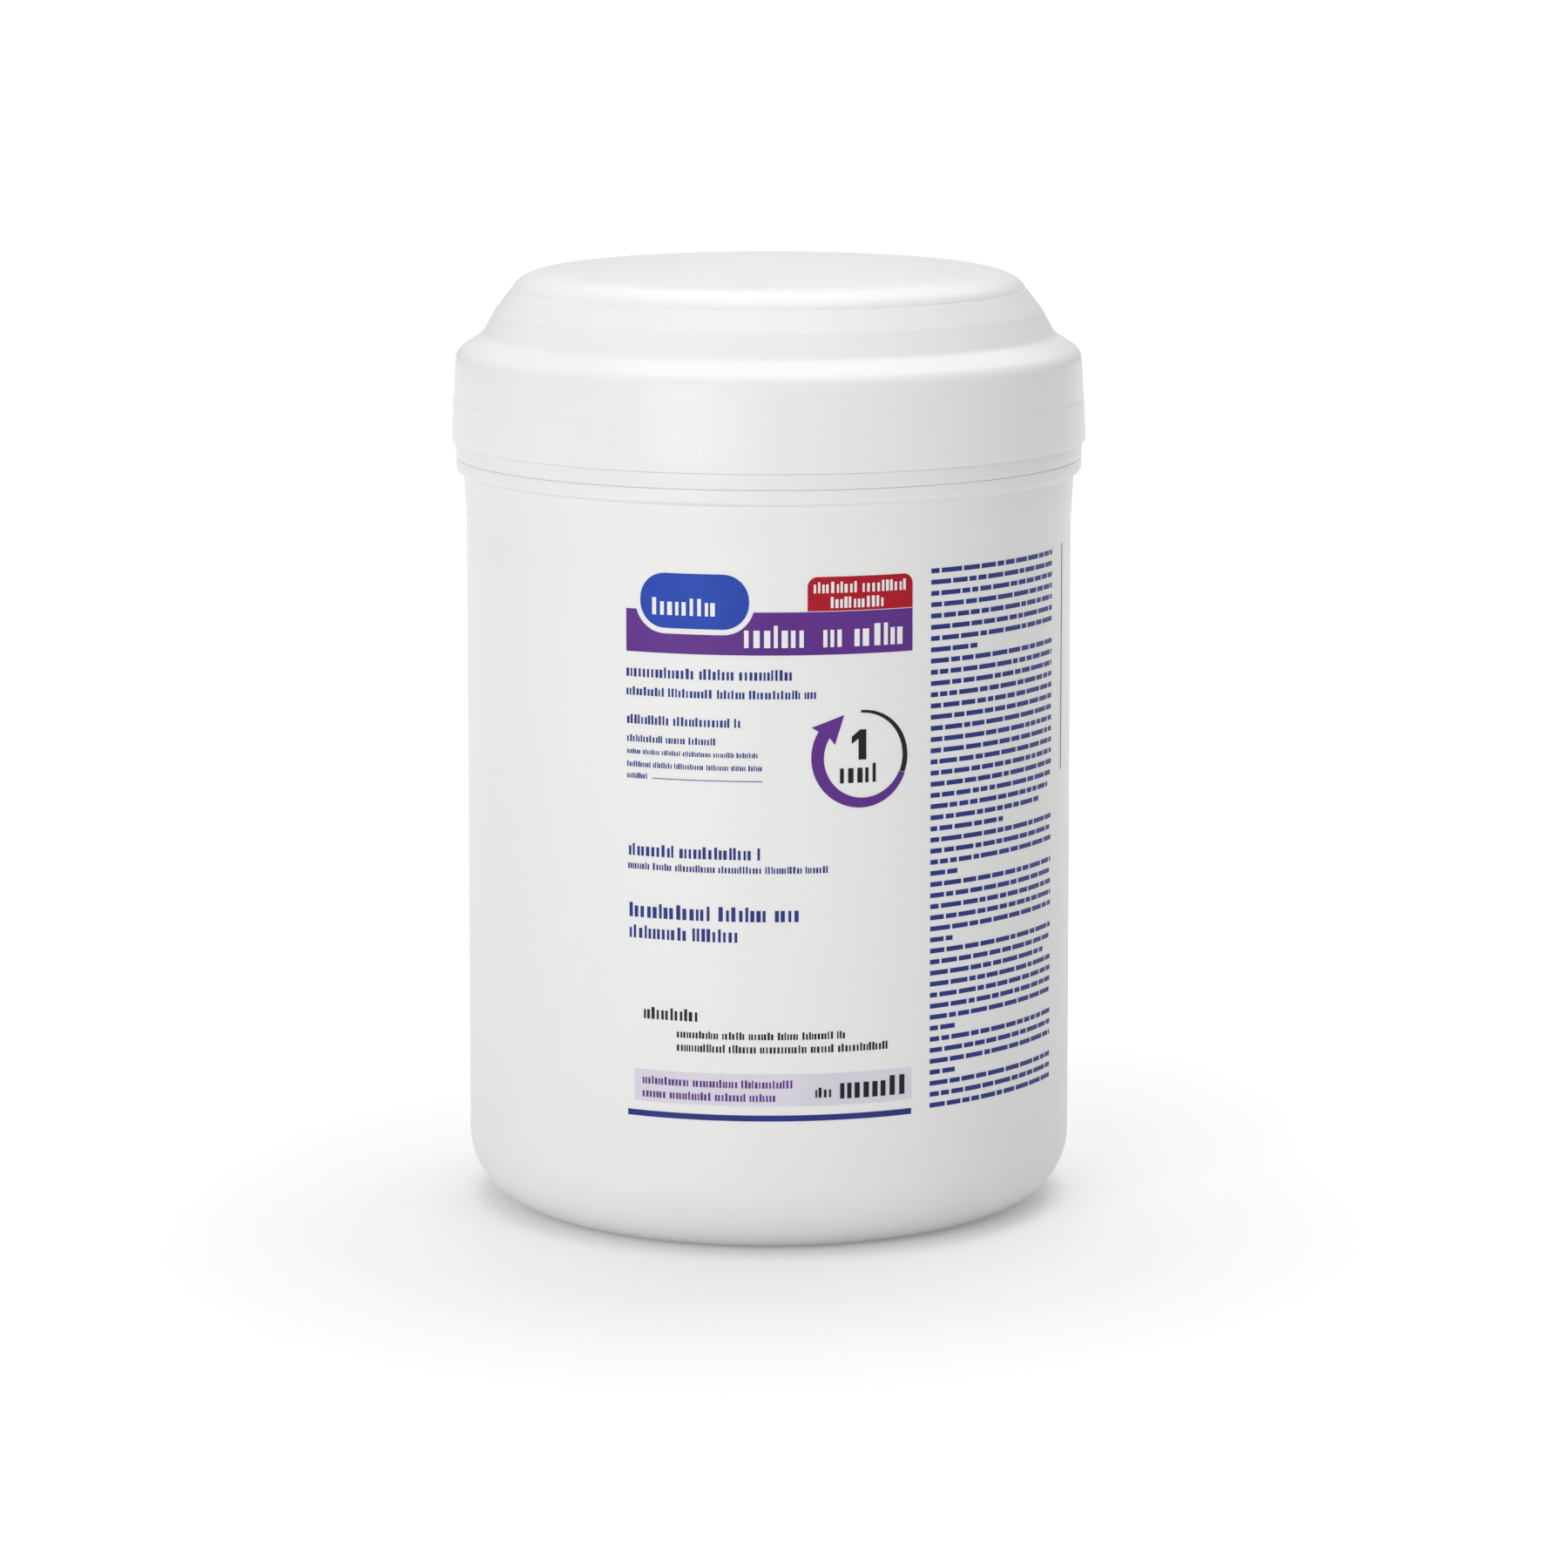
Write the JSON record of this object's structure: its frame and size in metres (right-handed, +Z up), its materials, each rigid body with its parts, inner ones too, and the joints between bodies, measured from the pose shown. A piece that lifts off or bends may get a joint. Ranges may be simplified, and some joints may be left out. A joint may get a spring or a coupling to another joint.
{
  "type": "wipes canister",
  "caption": "Round canister for wet wipes: a threaded tub with a screw-on lid base, a dispensing nozzle, a domed flip cover and a coreless roll inside.",
  "frame": {"origin": "centre of the base, on the surface that the canister stands on", "axes": "+Z up along the canister's axis, -Y to the printed front, +Y to the cover's hinge, +X to the right seen from the front"},
  "size_m": [0.1298, 0.1296, 0.1945],
  "materials": {
    "tub_plastic": "satin white polyethylene",
    "lid_plastic": "semi-gloss white polypropylene",
    "seal_foam": "soft matt",
    "wet_wipes": "damp nonwoven",
    "purple_ink": "printed ink",
    "blue_ink": "printed ink",
    "red_ink": "printed ink",
    "lavender_ink": "printed ink",
    "navy_ink": "printed ink",
    "white_ink": "printed ink",
    "black_ink": "printed ink",
    "grey_ink": "printed ink"
  },
  "bodies": {
    "tub": {"tub": "tub_plastic", "wipes_roll": "wet_wipes", "print_purple_band": "purple_ink", "print_blue_badge": "blue_ink", "print_red_tab": "red_ink", "print_timer_ring": "purple_ink", "print_lavender_box": "lavender_ink", "print_blue_rule": "navy_ink"},
    "seal": {"sealing_ring": "seal_foam"},
    "lid": {"lid_base": "lid_plastic"},
    "cover": {"lid_cover": "lid_plastic"}
  },
  "joints": [
    {"name": "lid_rise", "type": "slide", "parent": "tub", "child": "seal", "axis": [0, 0, 1], "range_m": [0, 0.0171]},
    {"name": "lid_unscrew", "type": "hinge", "parent": "seal", "child": "lid", "pos_m": [0, 0, 0.1549], "axis": [0, 0, 1], "range_deg": [0, 1530]},
    {"name": "cover_hinge", "type": "hinge", "parent": "lid", "child": "cover", "pos_m": [0, 0.0649, 0.1585], "axis": [-1, 0, 0], "range_deg": [0, 125]}
  ],
  "couplings": [
    {"joint": "lid_rise", "follows": "lid_unscrew", "m_per_rad": 0.00063662}
  ]
}
